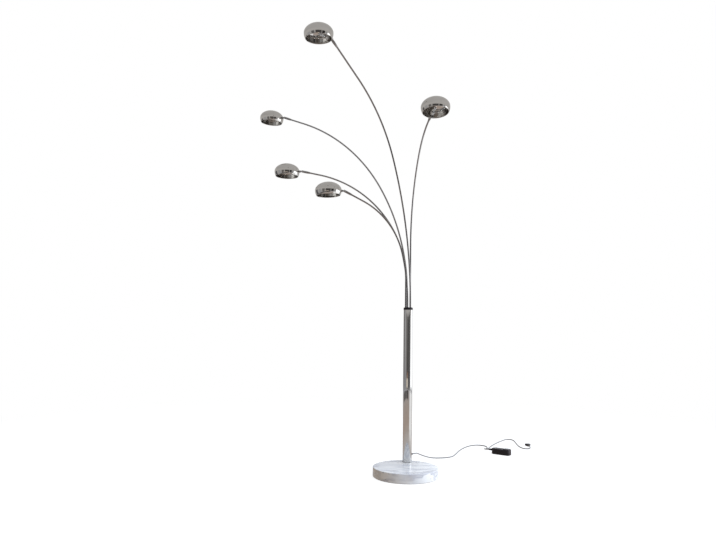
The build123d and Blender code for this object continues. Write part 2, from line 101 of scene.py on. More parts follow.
plug_place = Matrix.Translation((0.801, 0.800, plug_t / 2)) @ Matrix.Rotation(radians(86), 4, "Z")

# How many sides the turned pieces have.
base_sides, tube_sides, dome_sides, small_sides, pin_sides = 160, 128, 144, 48, 32

# Each arm bows over in two arcs: its hole's angle in the collar, the way it leans, the height
# where its bend starts, each arc's radius and angle, the straight length after them, and the
# tilt of its shade, outer edge up.
arms = {
    1: (-36.0, -131.2, 0.810, 1.790, 23.7, 0.764, 32.1, 0.200, -2.0),
    2: (36.0, -82.0, 1.113, 0.628, 42.8, 0.379, 33.2, 0.022, 9.0),
    3: (108.0, 159.1, 0.860, 1.133, 29.8, 0.897, 38.8, 0.105, 3.5),
    4: (180.0, 173.2, 0.936, 0.545, 31.2, 0.581, 46.4, 0.072, 0.0),
    5: (-108.0, -162.0, 0.820, 1.040, 14.1, 0.372, 52.1, 0.085, -3.0),
}


# ---- camera
camera_at, camera_pitch, camera_roll = Vector((-0.2383, -3.101, 0.701)), radians(5.09), radians(0.84)
camera_lens, camera_sensor = 32.18, 36


def placed(name, data):
    """A new object with this data, in the scene."""
    made = bpy.data.objects.new(name, data)
    bpy.context.scene.collection.objects.link(made)
    return made


def set_camera():
    """Seen from the front and a little left, from low down, looking slightly up."""
    ahead = Vector((0, cos(camera_pitch), sin(camera_pitch)))
    right = Vector((1, 0, 0))
    up = right.cross(ahead)
    across = right * cos(camera_roll) + up * sin(camera_roll)
    upward = up * cos(camera_roll) - right * sin(camera_roll)
    data = bpy.data.cameras.new("camera")
    data.sensor_width, data.lens = camera_sensor, camera_lens
    camera = placed("camera", data)
    turn = Matrix((across, upward, -ahead)).transposed().to_4x4()
    camera.matrix_world = Matrix.Translation(camera_at) @ turn
    bpy.context.scene.camera = camera


# ---- node helpers
def feed(tree, node, inputs):
    """The node, after each of these inputs is set to its value or joined to its socket."""
    for key, value in inputs.items():
        if isinstance(value, bpy.types.NodeSocket):
            tree.links.new(value, node.inputs[key])
        else:
            node.inputs[key].default_value = value
    return node


def add(tree, kind, inputs=None, **settings):
    """A new node with its settings and inputs."""
    node = tree.nodes.new(kind)
    for key, value in settings.items():
        setattr(node, key, value)
    return feed(tree, node, inputs or {})


def bare(owner):
    """The emptied node tree of a new material or world."""
    owner.use_nodes = True
    owner.node_tree.nodes.clear()
    return owner.node_tree


def maths(tree, operation, a, b=0.0, c=0.0):
    return add(tree, "ShaderNodeMath", {0: a, 1: b, 2: c}, operation=operation).outputs[0]


def plus(tree, a, b):
    return maths(tree, "ADD", a, b)


def minus(tree, a, b):
    return maths(tree, "SUBTRACT", a, b)


def times(tree, a, b):
    return maths(tree, "MULTIPLY", a, b)


def over(tree, a, b):
    return maths(tree, "DIVIDE", a, b)


def times_plus(tree, a, b, c):
    return maths(tree, "MULTIPLY_ADD", a, b, c)


def vector(tree, x=0.0, y=0.0, z=0.0):
    return add(tree, "ShaderNodeCombineXYZ", {0: x, 1: y, 2: z}).outputs[0]


def xyz(tree, socket):
    """A vector's X, Y and Z."""
    return add(tree, "ShaderNodeSeparateXYZ", {0: socket}).outputs


def spread(tree, value, low, high, to_low=0.0, to_high=1.0):
    """Value eased from low..high to to_low..to_high."""
    return add(tree, "ShaderNodeMapRange", {
        "Value": value, "From Min": low, "From Max": high, "To Min": to_low, "To Max": to_high},
        interpolation_type="SMOOTHSTEP").outputs["Result"]


def mixed(tree, factor, a, b):
    """Colour between a and b, each a socket or its red, green and blue."""
    a, b = ((*colour, 1) if isinstance(colour, tuple) else colour for colour in (a, b))
    return add(tree, "ShaderNodeMix", {0: factor, 6: a, 7: b}, data_type="RGBA").outputs[2]


def ramp(tree, factor, stops):
    node = add(tree, "ShaderNodeValToRGB", {0: factor})
    elements = node.color_ramp.elements
    while len(elements) < len(stops):
        elements.new(0.5)
    for element, (position, colour) in zip(elements, stops):
        element.position = position
        element.color = (*colour, 1)
    return node.outputs["Color"]


def noise(tree, place, scale, detail=3.0, rough=0.5, distortion=0.0):
    return add(tree, "ShaderNodeTexNoise", {
        "Vector": place, "Scale": scale, "Detail": detail, "Roughness": rough,
        "Distortion": distortion}).outputs["Fac"]


def stretched(tree, place, scale):
    return add(tree, "ShaderNodeVectorMath", {0: place, 1: scale}, operation="MULTIPLY").outputs[0]


def group(name, inputs, outputs):
    """An empty shader group: its tree, its inputs' sockets by name and its output node."""
    tree = bpy.data.node_groups.new(name, "ShaderNodeTree")
    kinds = {"v": "NodeSocketVector", "f": "NodeSocketFloat"}
    for label, (kind, value) in inputs.items():
        socket = tree.interface.new_socket(label, in_out="INPUT", socket_type=kinds[kind])
        if value is not None:
            socket.default_value = value
    for label in outputs:
        tree.interface.new_socket(label, in_out="OUTPUT", socket_type=kinds["f"])
    return tree, tree.nodes.new("NodeGroupInput").outputs, tree.nodes.new("NodeGroupOutput")


def use(tree, shared, inputs):
    """The outputs of a shared group placed in this tree with these inputs."""
    return feed(tree, add(tree, "ShaderNodeGroup", node_tree=shared), inputs).outputs


def put_out(tree, sink, values):
    for label, socket in values.items():
        tree.links.new(socket, sink.inputs[label])


# ---- shared effects
def handling_marks():
    """Faint smears and fine rubbing on a polished surface."""
    tree, at, sink = group("handling_marks", {
        "Position": ("v", None), "Smear Size": ("f", 0.04), "Smear": ("f", 0.05),
        "Base Roughness": ("f", 0.05)}, ("Roughness", "Tone", "Height"))
    per_metre = over(tree, 1.0, at["Smear Size"])
    broad = spread(tree, noise(tree, at["Position"], per_metre, 4, 0.6, 0.6), 0.42, 0.72)
    fine_scale = times(tree, per_metre, 14.0)
    fine = noise(tree, stretched(tree, at["Position"], (1.0, 1.0, 0.25)), fine_scale, 3, 0.6)
    speck = spread(tree, fine, 0.5, 0.8)
    rise = times_plus(tree, broad, at["Smear"], at["Base Roughness"])
    rub = times(tree, speck, at["Smear"])
    put_out(tree, sink, {
        "Roughness": times_plus(tree, rub, 0.6, rise), "Tone": broad, "Height": fine})
    return tree


def moulded_grain():
    """Fine spark-eroded grain of moulded plastic or rubber, rubbed smoother in places."""
    tree, at, sink = group("moulded_grain", {
        "Position": ("v", None), "Grain Size": ("f", 0.0006), "Base Roughness": ("f", 0.5),
        "Rubbed": ("f", 0.12)}, ("Roughness", "Tone", "Height"))
    per_metre = over(tree, 1.0, at["Grain Size"])
    place = at["Position"]
    cells = add(tree, "ShaderNodeTexVoronoi", {"Vector": place, "Scale": per_metre}).outputs["Distance"]
    grain = noise(tree, place, times(tree, per_metre, 0.6), 3, 0.6)
    broad = spread(tree, noise(tree, place, times(tree, per_metre, 0.02), 3, 0.55), 0.4, 0.7)
    rubbed = times(tree, broad, at["Rubbed"])
    put_out(tree, sink, {
        "Roughness": minus(tree, at["Base Roughness"], rubbed), "Tone": broad,
        "Height": times_plus(tree, cells, 0.5, grain)})
    return tree


def settled_dust():
    """Share of fine dust lying on faces that look up."""
    tree, at, sink = group("settled_dust", {
        "Position": ("v", None), "Facing": ("v", None), "Amount": ("f", 0.1)}, ("Dust",))
    up = xyz(tree, at["Facing"])["Z"]
    patchy = spread(tree, noise(tree, at["Position"], 60.0, 5, 0.65), 0.35, 0.75)
    lying = times(tree, spread(tree, up, 0.3, 1.0), patchy)
    put_out(tree, sink, {"Dust": times(tree, lying, at["Amount"])})
    return tree


MARKS, GRAIN, DUST = handling_marks(), moulded_grain(), settled_dust()


# ---- materials
def material(name, **constants):
    """A new material: its tree, its Principled node, Object coordinates and the facing direction."""
    made = bpy.data.materials.new(name)
    tree = bare(made)
    shader = tree.nodes.new("ShaderNodeBsdfPrincipled")
    for label, value in constants.items():
        shader.inputs[label.replace("_", " ")].default_value = value
    output = tree.nodes.new("ShaderNodeOutputMaterial")
    tree.links.new(shader.outputs[0], output.inputs["Surface"])
    place = tree.nodes.new("ShaderNodeTexCoord").outputs["Object"]
    return made, tree, shader, place


def join(tree, shader, **sockets):
    for label, socket in sockets.items():
        tree.links.new(socket, shader.inputs[label.replace("_", " ")])


def bump(tree, height, distance, strength=1.0):
    return add(tree, "ShaderNodeBump",
               {"Height": height, "Distance": distance, "Strength": strength}).outputs["Normal"]


def marked(tree, place, smear_size, smear, base_roughness):
    """What the handling marks put out on a piece."""
    return use(tree, MARKS, {"Position": place, "Smear Size": smear_size, "Smear": smear,
                             "Base Roughness": base_roughness})


def polished_metal(name, light, dark, base_roughness, smear, smear_size=0.05):
    made, tree, shader, place = material(name, Metallic=1.0)
    marks = marked(tree, place, smear_size, smear, base_roughness)
    join(tree, shader, Base_Color=mixed(tree, marks["Tone"], light, dark), Roughness=marks["Roughness"],
         Normal=bump(tree, marks["Height"], 0.000002, 0.1))
    return made


def plastic(name, colour, worn, base_roughness, rubbed, grain_size, grain_depth, dust=0.1, **constants):
    made, tree, shader, place = material(name, **constants)
    facing = add(tree, "ShaderNodeNewGeometry").outputs["Normal"]
    grain = use(tree, GRAIN, {"Position": place, "Grain Size": grain_size,
                              "Base Roughness": base_roughness, "Rubbed": rubbed})
    lying = use(tree, DUST, {"Position": place, "Facing": facing, "Amount": dust})["Dust"]
    body = mixed(tree, grain["Tone"], colour, worn)
    join(tree, shader, Base_Color=mixed(tree, lying, body, (0.45, 0.43, 0.40)),
         Roughness=grain["Roughness"], Normal=bump(tree, grain["Height"], grain_depth, 0.7))
    return made


def marble(name):
    """White marble: cloudy ground with long soft grey veins and a few thin sharper ones."""
    made, tree, shader, place = material(name, Specular_IOR_Level=0.5, Coat_Weight=0.15, Coat_Roughness=0.12)
    laid = stretched(tree, place, (2.2, 7.0, 9.0))
    drift = add(tree, "ShaderNodeTexNoise", {"Vector": laid, "Scale": 1.1, "Detail": 4.0, "Roughness": 0.6})
    offset = stretched(tree, drift.outputs["Color"], (0.9, 0.9, 0.9))
    bent = add(tree, "ShaderNodeVectorMath", {0: laid, 1: offset}, operation="ADD").outputs[0]

    def vein(scale, width, softness):
        """One where a noise field crosses its middle value, which draws wandering lines."""
        field = noise(tree, bent, scale, 2, 0.45)
        away = maths(tree, "ABSOLUTE", minus(tree, field, 0.5))
        return spread(tree, away, width, width + softness, 1.0, 0.0)

    cloud = spread(tree, noise(tree, bent, 1.6, 5, 0.6), 0.38, 0.68)
    ground = mixed(tree, cloud, (0.84, 0.84, 0.83), (0.68, 0.695, 0.72))
    broad = times(tree, vein(1.3, 0.006, 0.060), spread(tree, noise(tree, place, 9.0), 0.30, 0.55))
    thin = times(tree, vein(2.6, 0.0, 0.016), spread(tree, noise(tree, place, 14.0), 0.42, 0.6))
    veined = mixed(tree, times(tree, broad, 0.70), ground, (0.44, 0.455, 0.51))
    veined = mixed(tree, times(tree, thin, 0.70), veined, (0.30, 0.32, 0.38))
    warm = spread(tree, noise(tree, place, 22.0, 3), 0.55, 0.75)
    veined = mixed(tree, times(tree, warm, 0.22), veined, (0.70, 0.62, 0.52))
    marks = marked(tree, place, 0.05, 0.06, 0.20)
    join(tree, shader, Base_Color=veined, Roughness=marks["Roughness"],
         Normal=bump(tree, plus(tree, thin, marks["Height"]), 0.00002, 0.2))
    return made


def felt(name):
    made, tree, shader, place = material(name, Roughness=0.95, Sheen_Weight=0.35, Sheen_Roughness=0.6)
    fibre = noise(tree, stretched(tree, place, (1.0, 0.4, 1.0)), 2600.0, 4, 0.7, 1.2)
    matted = noise(tree, place, 260.0, 4, 0.6)
    shade = mixed(tree, fibre, (0.16, 0.14, 0.125), (0.34, 0.31, 0.28))
    join(tree, shader, Base_Color=mixed(tree, spread(tree, matted, 0.4, 0.7), shade, (0.24, 0.22, 0.20)),
         Normal=bump(tree, plus(tree, fibre, matted), 0.0004, 0.8))
    return made


def zinc(name):
    """Zinc-plated steel: cool, with faint crystalline patches."""
    made, tree, shader, place = material(name, Metallic=1.0)
    patch = add(tree, "ShaderNodeTexVoronoi", {"Vector": place, "Scale": 420.0}).outputs["Color"]
    tone = xyz(tree, patch)["X"]
    marks = marked(tree, place, 0.006, 0.15, 0.26)
    join(tree, shader, Base_Color=mixed(tree, tone, (0.47, 0.48, 0.50), (0.62, 0.62, 0.61)),
         Roughness=marks["Roughness"], Normal=bump(tree, marks["Height"], 0.00003, 0.5))
    return made


def ceramic(name):
    made, tree, shader, place = material(name, Specular_IOR_Level=0.4)
    speck = spread(tree, noise(tree, place, 900.0, 3, 0.6), 0.6, 0.75)
    cloud = noise(tree, place, 60.0, 3)
    ground = mixed(tree, cloud, (0.80, 0.77, 0.72), (0.88, 0.86, 0.82))
    join(tree, shader,
         Base_Color=mixed(tree, times(tree, speck, 0.3), ground, (0.50, 0.46, 0.40)),
         Roughness=spread(tree, cloud, 0.3, 0.7, 0.42, 0.62), Normal=bump(tree, speck, 0.00005, 0.5))
    return made


def frosted_glass(name):
    made, tree, shader, place = material(name, Transmission_Weight=0.55, IOR=1.47)
    etched = noise(tree, place, 1800.0, 3, 0.6)
    film = noise(tree, place, 70.0, 3)
    join(tree, shader, Base_Color=mixed(tree, film, (0.93, 0.93, 0.91), (0.86, 0.86, 0.84)),
         Roughness=spread(tree, film, 0.3, 0.7, 0.30, 0.45), Normal=bump(tree, etched, 0.00002, 0.5))
    return made


def cord_sheath(name):
    """Smooth grey plastic sheath, lighter and darker by turns, with slight handling marks."""
    made, tree, shader, place = material(name, Specular_IOR_Level=0.5)
    marks = marked(tree, place, 0.03, 0.15, 0.30)
    drawn = noise(tree, place, 700.0, 3, 0.6)
    drift = mixed(tree, marks["Tone"], (0.25, 0.25, 0.25), (0.19, 0.188, 0.185))
    darker = spread(tree, drawn, 0.35, 0.8, 0.0, 0.35)
    join(tree, shader, Base_Color=mixed(tree, darker, drift, (0.16, 0.16, 0.165)),
         Roughness=marks["Roughness"], Normal=bump(tree, drawn, 0.00004, 0.5))
    return made


CHROME_TUBE = polished_metal("chrome_tube", (0.60, 0.595, 0.59), (0.55, 0.545, 0.54), 0.045, 0.05)
# The arms' chrome has a darker base than the pole's and the shades': painted shade, standing in for the
# darker surroundings the thin arms and their sleeves reflect.
SHADED_CHROME_ARM = polished_metal("chrome_arm", (0.32, 0.315, 0.32), (0.28, 0.275, 0.28), 0.06, 0.05)
CHROME_SHADE = polished_metal("chrome_shade", (0.60, 0.59, 0.575), (0.55, 0.54, 0.525), 0.045, 0.04, 0.03)
STEEL = zinc("zinc_steel")
BRASS = polished_metal("nickel_brass", (0.72, 0.66, 0.50), (0.60, 0.53, 0.38), 0.18, 0.15, 0.01)
BLACK_PLASTIC = plastic("black_plastic", (0.012, 0.010, 0.014), (0.018, 0.015, 0.020), 0.40, 0.14,
                        0.0009, 0.00007, dust=0.03, Specular_IOR_Level=0.3)
PEDAL_PLASTIC = plastic("pedal_plastic", (0.010, 0.012, 0.020), (0.016, 0.019, 0.030), 0.20, 0.08,
                        0.0012, 0.00002, dust=0.03, Coat_Weight=0.4, Coat_Roughness=0.08)
BLACK_RUBBER = plastic("black_rubber", (0.018, 0.018, 0.018), (0.032, 0.031, 0.03), 0.68, 0.1,
                       0.0007, 0.00008, dust=0.12)
GREY_RUBBER = plastic("grey_relief", (0.17, 0.17, 0.17), (0.21, 0.21, 0.208), 0.45, 0.1,
                      0.0008, 0.00006, dust=0.06)
GREY_CORD = cord_sheath("grey_cord")
MARBLE = marble("white_marble")
FELT = felt("grey_brown_felt")
CERAMIC = ceramic("white_ceramic")
BULB_GLASS = frosted_glass("frosted_glass")


# ---- mesh helpers
def softened(points, steps=5):
    """Outline points, with an arc in place of each that gives a radius as its third number."""
    line = []
    for i, point in enumerate(points):
        corner = Vector(point[:2])
        if len(point) < 3:
            line.append(corner)
            continue
        back = (Vector(points[i - 1][:2]) - corner).normalized()
        on = (Vector(points[(i + 1) % len(points)][:2]) - corner).normalized()
        half = back.angle(on) / 2
        reach = point[2] / tan(half)
        centre = corner + (back + on).normalized() * (point[2] / sin(half))
        first, last = corner + back * reach - centre, corner + on * reach - centre
        whole = first.angle(last)
        for k in range(steps + 1):
            a, b = sin(whole * (1 - k / steps)), sin(whole * k / steps)
            line.append(centre + (first * a + last * b) / sin(whole))
    return line


def round_spot(radius, k, sides):
    """X and Y of point k out of sides round a circle."""
    return radius * cos(2 * pi * k / sides), radius * sin(2 * pi * k / sides)


def finished(made, name):
    """A mesh out of a bmesh, which is freed."""
    mesh = bpy.data.meshes.new(name)
    made.to_mesh(mesh)
    made.free()
    return mesh


def turned(outline, sides=64, closed=True):
    """Mesh turned about Z from (radius, height) points. Points on the axis close it. Its UV map
    runs round the piece in U and along the outline, in metres, in V."""
    made = bmesh.new()
    uv = made.loops.layers.uv.new("turned")
    rings, along, total = [], [], 0.0
    for i, (r, z) in enumerate(outline):
        if i:
            total += (Vector(outline[i]) - Vector(outline[i - 1])).length
        along.append(total)
        if r < 1e-7:
            rings.append([made.verts.new((0, 0, z))])
        else:
            rings.append([made.verts.new((*round_spot(r, k, sides), z)) for k in range(sides)])
    count = len(rings)
    for i in range(count if closed else count - 1):
        a, b = rings[i], rings[(i + 1) % count]
        end = (along[i + 1] if i + 1 < count
               else total + (Vector(outline[0]) - Vector(outline[-1])).length)
        if len(a) == 1 and len(b) == 1:
            continue
        for k in range(sides):
            n = (k + 1) % sides
            if len(a) == 1:
                corners = [(a[0], k + 0.5, along[i]), (b[n], k + 1, end), (b[k], k, end)]
            elif len(b) == 1:
                corners = [(a[k], k, along[i]), (a[n], k + 1, along[i]), (b[0], k + 0.5, end)]
            else:
                corners = [(a[k], k, along[i]), (a[n], k + 1, along[i]),
                           (b[n], k + 1, end), (b[k], k, end)]
            face = made.faces.new([c[0] for c in corners])
            for loop, c in zip(face.loops, corners):
                loop[uv].uv = (c[1] / sides, c[2])
    bmesh.ops.recalc_face_normals(made, faces=made.faces)
    return finished(made, "turned")


def smooth(mesh, angle=35):
    mesh.shade_smooth()
    mesh.set_sharp_from_angle(angle=radians(angle))
    return mesh


def tidy_mesh(mesh):
    """Merges doubles and turns all faces outwards."""
    made = bmesh.new()
    made.from_mesh(mesh)
    bmesh.ops.remove_doubles(made, verts=made.verts, dist=1e-7)
    bmesh.ops.recalc_face_normals(made, faces=made.faces)
    made.to_mesh(mesh)
    made.free()
    return mesh


def dress(mesh, finish):
    mesh.materials.clear()
    mesh.materials.append(finish)


def piece(name, mesh, finish, body, place=None, replaces=()):
    """A finished piece, its place in its mesh, riding on its body."""
    if place is not None:
        mesh.transform(place)
    mesh.name = name
    made = placed(name, mesh)
    dress(mesh, finish)
    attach(made, body)
    if replaces:
        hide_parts(*replaces)
    return made


def evaluated(scratch):
    """The mesh that a scratch object's modifiers make. The object goes."""
    shown = scratch.evaluated_get(bpy.context.evaluated_depsgraph_get())
    result = bpy.data.meshes.new_from_object(shown)
    bpy.data.objects.remove(scratch)
    return result


def with_modifiers(mesh, *steps):
    """The mesh after modifiers, each given as (type, settings), have been applied."""
    scratch = placed("scratch", mesh)
    for kind, settings in steps:
        modifier = scratch.modifiers.new(kind.lower(), kind)
        for key, value in settings.items():
            setattr(modifier, key, value)
    return evaluated(scratch)


def bevelled(mesh, width, segments):
    """The mesh with its sharp edges rounded."""
    return with_modifiers(mesh, ("BEVEL", {
        "width": width, "segments": segments, "limit_method": "ANGLE", "angle_limit": radians(50)}))


def cut(mesh, cutter):
    """The mesh without the cutter's volume."""
    tool = placed("cutter", cutter)
    result = with_modifiers(
        mesh, ("BOOLEAN", {"operation": "DIFFERENCE", "solver": "EXACT", "object": tool}))
    bpy.data.objects.remove(tool)
    return result


def joined(*meshes):
    """One mesh out of several."""
    made = bmesh.new()
    for mesh in meshes:
        made.from_mesh(mesh)
    return finished(made, "joined")


def stacked(layers, capped=True):
    """Mesh through outlines with as many points each, closed at both ends if capped."""
    made = bmesh.new()
    rings = [[made.verts.new(p) for p in layer] for layer in layers]
    for a, b in zip(rings, rings[1:]):
        for k in range(len(a)):
            n = (k + 1) % len(a)
            made.faces.new((a[k], a[n], b[n], b[k]))
    if capped:
        made.faces.new(list(reversed(rings[0])))
        made.faces.new(rings[-1])
    bmesh.ops.recalc_face_normals(made, faces=made.faces)
    return finished(made, "stacked")


def prism(flat, low, high, capped=True):
    """Mesh that stands on a flat outline, from one height to another."""
    return stacked([[(*p, low) for p in flat], [(*p, high) for p in flat]], capped)


def block(side, low, high, middle_x):
    """Upright block on a square whose middle lies on the X axis."""
    corners = ((-1, -1), (1, -1), (1, 1), (-1, 1))
    return prism([(middle_x + x * side / 2, y * side / 2) for x, y in corners], low, high)


# ---- geometry node trees
def node_tree(name, inputs):
    """An empty Geometry Nodes tree: the tree, its inputs' sockets by name and its output node."""
    tree = bpy.data.node_groups.new(name, "GeometryNodeTree")
    kinds = {"f": "NodeSocketFloat", "i": "NodeSocketInt", "m": "NodeSocketMaterial"}
    for label, kind in inputs.items():
        tree.interface.new_socket(label, in_out="INPUT", socket_type=kinds[kind])
    tree.interface.new_socket("Geometry", in_out="OUTPUT", socket_type="NodeSocketGeometry")
    return tree, tree.nodes.new("NodeGroupInput").outputs, tree.nodes.new("NodeGroupOutput")


def formed(tree, kind, inputs=None, **settings):
    """The first output of a new Geometry Nodes node."""
    return add(tree, f"GeometryNode{kind}", inputs, **settings).outputs[0]


def spaced(tree, start, end, count):
    """A straight line of evenly spaced points, and each point's share of the way along it."""
    line = formed(tree, "CurvePrimitiveLine", {"Start": start, "End": end})
    line = formed(tree, "ResampleCurve", {"Curve": line, "Count": count})
    return line, formed(tree, "SplineParameter")


def swept(tree, line, sides, radius, capped):
    """A round bar along a line."""
    circle = formed(tree, "CurvePrimitiveCircle", {"Resolution": sides, "Radius": radius})
    return formed(tree, "CurveToMesh", {"Curve": line, "Profile Curve": circle, "Fill Caps": capped})


def finish_tree(tree, at, sink, geometry):
    """Ends a tree with its instances made real and its material set."""
    real = formed(tree, "RealizeInstances", {0: geometry})
    coated = formed(tree, "SetMaterial", {"Geometry": real, "Material": at["Material"]})
    tree.links.new(coated, sink.inputs[0])
    return tree


def grown(tree, values):
    """The mesh that a Geometry Nodes tree makes with these input values."""
    scratch = placed("scratch", bpy.data.meshes.new("scratch"))
    modifier = scratch.modifiers.new("grown", "NODES")
    modifier.node_group = tree
    for item in tree.interface.items_tree:
        if item.in_out == "INPUT" and item.name in values:
            modifier[item.identifier] = values[item.name]
    return tidy_mesh(evaluated(scratch))


def bent_tube_tree():
    """Tube that rises straight, bends over in two arcs and ends straight, in the XZ plane."""
    tree, at, sink = node_tree("bent_tube", {
        "Foot Height": "f", "Bend Start": "f", "First Radius": "f", "First Sweep": "f",
        "Second Radius": "f", "Second Sweep": "f", "Tail": "f", "Diameter": "f", "Steps": "i",
        "Sides": "i", "Material": "m"})
    foot, r1, r2 = at["Foot Height"], at["First Radius"], at["Second Radius"]

    def clamped(value, most):
        return maths(tree, "MINIMUM", maths(tree, "MAXIMUM", value, 0.0), most)

    straight = minus(tree, at["Bend Start"], foot)
    first_arc = times(tree, r1, at["First Sweep"])
    second_arc = times(tree, r2, at["Second Sweep"])
    whole = plus(tree, plus(tree, straight, first_arc), plus(tree, second_arc, at["Tail"]))
    line, share = spaced(tree, (0, 0, 0), (0, 0, 1), at["Steps"])
    gone = times(tree, share, whole)
    past = minus(tree, gone, straight)
    turn = clamped(over(tree, past, r1), at["First Sweep"])
    past = minus(tree, past, first_arc)
    further = clamped(over(tree, past, r2), at["Second Sweep"])
    tail = maths(tree, "MAXIMUM", minus(tree, past, second_arc), 0.0)
    facing = plus(tree, turn, further)
    sine, cosine = maths(tree, "SINE", turn), maths(tree, "COSINE", turn)
    end_sine, end_cosine = maths(tree, "SINE", facing), maths(tree, "COSINE", facing)
    x = times(tree, r1, minus(tree, 1.0, cosine))
    x = times_plus(tree, r2, minus(tree, cosine, end_cosine), x)
    x = times_plus(tree, tail, end_sine, x)
    z = plus(tree, foot, maths(tree, "MINIMUM", gone, straight))
    z = times_plus(tree, r1, sine, z)
    z = times_plus(tree, r2, minus(tree, end_sine, sine), z)
    z = times_plus(tree, tail, end_cosine, z)
    line = formed(tree, "SetPosition", {"Geometry": line, "Position": vector(tree, x=x, z=z)})
    tube = swept(tree, line, at["Sides"], times(tree, at["Diameter"], 0.5), True)
    return finish_tree(tree, at, sink, tube)


def rib_tree():
    """Round ribs set along +Z on a cone that narrows from its root to its tip."""
    tree, at, sink = node_tree("ribs_on_cone", {
        "Count": "i", "First": "f", "Last": "f", "Root Diameter": "f", "Tip Diameter": "f",
        "Rib Thickness": "f", "Material": "m"})
    root = at["Root Diameter"]
    line, share = spaced(tree, vector(tree, z=at["First"]), vector(tree, z=at["Last"]), at["Count"])
    across = times_plus(tree, share, minus(tree, at["Tip Diameter"], root), root)
    kept = formed(tree, "StoreNamedAttribute", {"Geometry": line, "Name": "across", "Value": across},
                  data_type="FLOAT", domain="POINT")
    ring = formed(tree, "CurvePrimitiveCircle", {"Resolution": 48, "Radius": 0.5})
    relative = over(tree, times(tree, at["Rib Thickness"], 0.5), root)
    rib = swept(tree, ring, 12, relative, False)
    size = formed(tree, "InputNamedAttribute", {"Name": "across"}, data_type="FLOAT")
    ribs = formed(tree, "InstanceOnPoints", {
        "Points": kept, "Instance": rib, "Scale": vector(tree, size, size, root)})
    return finish_tree(tree, at, sink, ribs)


def bar_tree():
    """Equal round bars along X, a pitch apart in Y, that cut the grooves."""
    tree, at, sink = node_tree("row_of_bars", {
        "Count": "i", "Pitch": "f", "From": "f", "To": "f", "Height": "f", "Thickness": "f",
        "Material": "m"})
    half_row = times(tree, times(tree, minus(tree, at["Count"], 1.0), at["Pitch"]), 0.5)
    start = vector(tree, y=times(tree, half_row, -1.0), z=at["Height"])
    end = vector(tree, y=half_row, z=at["Height"])
    row, _ = spaced(tree, start, end, at["Count"])
    one = formed(tree, "CurvePrimitiveLine", {
        "Start": vector(tree, x=at["From"]), "End": vector(tree, x=at["To"])})
    bar = swept(tree, one, 12, times(tree, at["Thickness"], 0.5), True)
    bars = formed(tree, "InstanceOnPoints", {"Points": row, "Instance": bar})
    return finish_tree(tree, at, sink, bars)


BENT_TUBE, RIBS, BARS = bent_tube_tree(), rib_tree(), bar_tree()


# ---- places of arms and shades
def hole_place(number):
    """The arm's hole in the collar, from the pole's middle."""
    angle = radians(arms[number][0])
    return Matrix.Translation((hole_circle_r * cos(angle), hole_circle_r * sin(angle), 0))


def arm_place(number):
    """Origin under the arm's hole, X the way it leans."""
    return pole_place @ hole_place(number) @ Matrix.Rotation(radians(arms[number][1]), 4, "Z")


def end_place(number):
    """Origin at the arm's end, Z out along it, X level and square to the arm."""
    _, _, bend_start, r1, sweep1, r2, sweep2, tail, _ = arms[number]
    middle, whole = radians(sweep1), radians(sweep1 + sweep2)
    along = Vector((sin(whole), 0, cos(whole)))
    end = Vector((r1 * (1 - cos(middle)), 0, bend_start + r1 * sin(middle)))
    end += Vector((cos(middle) - cos(whole), 0, sin(whole) - sin(middle))) * r2 + along * tail
    level = Vector((0, 1, 0))
    axes = Matrix((level, along.cross(level), along)).transposed().to_4x4()
    return arm_place(number) @ Matrix.Translation(end) @ axes


def shade_place(number):
    """Origin at the tilt pin, X outwards, tilted as the shade rests."""
    pin = arm_place(number).inverted() @ end_place(number) @ Vector((0, 0, pin_from_end))
    tilt = Matrix.Rotation(-radians(arms[number][-1]), 4, "Y")
    return arm_place(number) @ Matrix.Translation(pin) @ tilt


OUTWARD = Matrix.Rotation(pi / 2, 4, "Y")


# ---- cords, through listed points
def gland_point(reach):
    return lead_place @ Vector((reach, 0, 0))


def port(side, reach):
    return switch_place @ Vector((reach, side * port_pitch / 2, port_z))


gland_end = gland_start + gland_len
nozzle_end = -switch_len / 2 - nozzle_len
floor_z = cord_d / 2
into_relief = 0.012

# The switch's two reliefs point left and back, so the first cord loops round to reach its own.
route_to_switch = [
    gland_point(gland_end), gland_point(gland_end + gland_straight),
    (0.080, 0.216, 0.066), (0.098, 0.271, 0.050), (0.124, 0.330, 0.032), (0.158, 0.384, 0.014),
    (0.200, 0.424, 0.004), (0.248, 0.440, floor_z), (0.290, 0.468, floor_z), (0.318, 0.532, floor_z),
    (0.344, 0.610, floor_z), (0.373, 0.684, floor_z), (0.410, 0.757, floor_z), (0.456, 0.817, floor_z),
    (0.505, 0.838, floor_z), (0.541, 0.806, floor_z), (0.542, 0.764, floor_z), (0.532, 0.726, floor_z),
    (0.518, 0.693, 0.006), (0.507, 0.665, 0.012), (0.501, 0.641, 0.017),
    port(-1, nozzle_end - nozzle_straight), port(-1, nozzle_end + into_relief),
]
route_to_plug = [
    port(1, nozzle_end + into_relief), port(1, nozzle_end - nozzle_straight),
    (0.511, 0.645, 0.017), (0.515, 0.665, 0.011), (0.528, 0.697, 0.005), (0.545, 0.737, floor_z),
    (0.560, 0.774, floor_z), (0.577, 0.812, floor_z),
    (0.611, 0.880, floor_z), (0.650, 0.948, floor_z), (0.692, 1.010, floor_z), (0.722, 1.056, floor_z),
    (0.757, 1.040, floor_z), (0.757, 0.975, floor_z), (0.747, 0.895, floor_z), (0.741, 0.826, floor_z),
    (0.743, 0.770, floor_z), (0.755, 0.737, floor_z), (0.785, 0.735, 0.0035),
    plug_place @ Vector((-plug_straight, 0, 0)), plug_place @ Vector((0, 0, 0)),
]


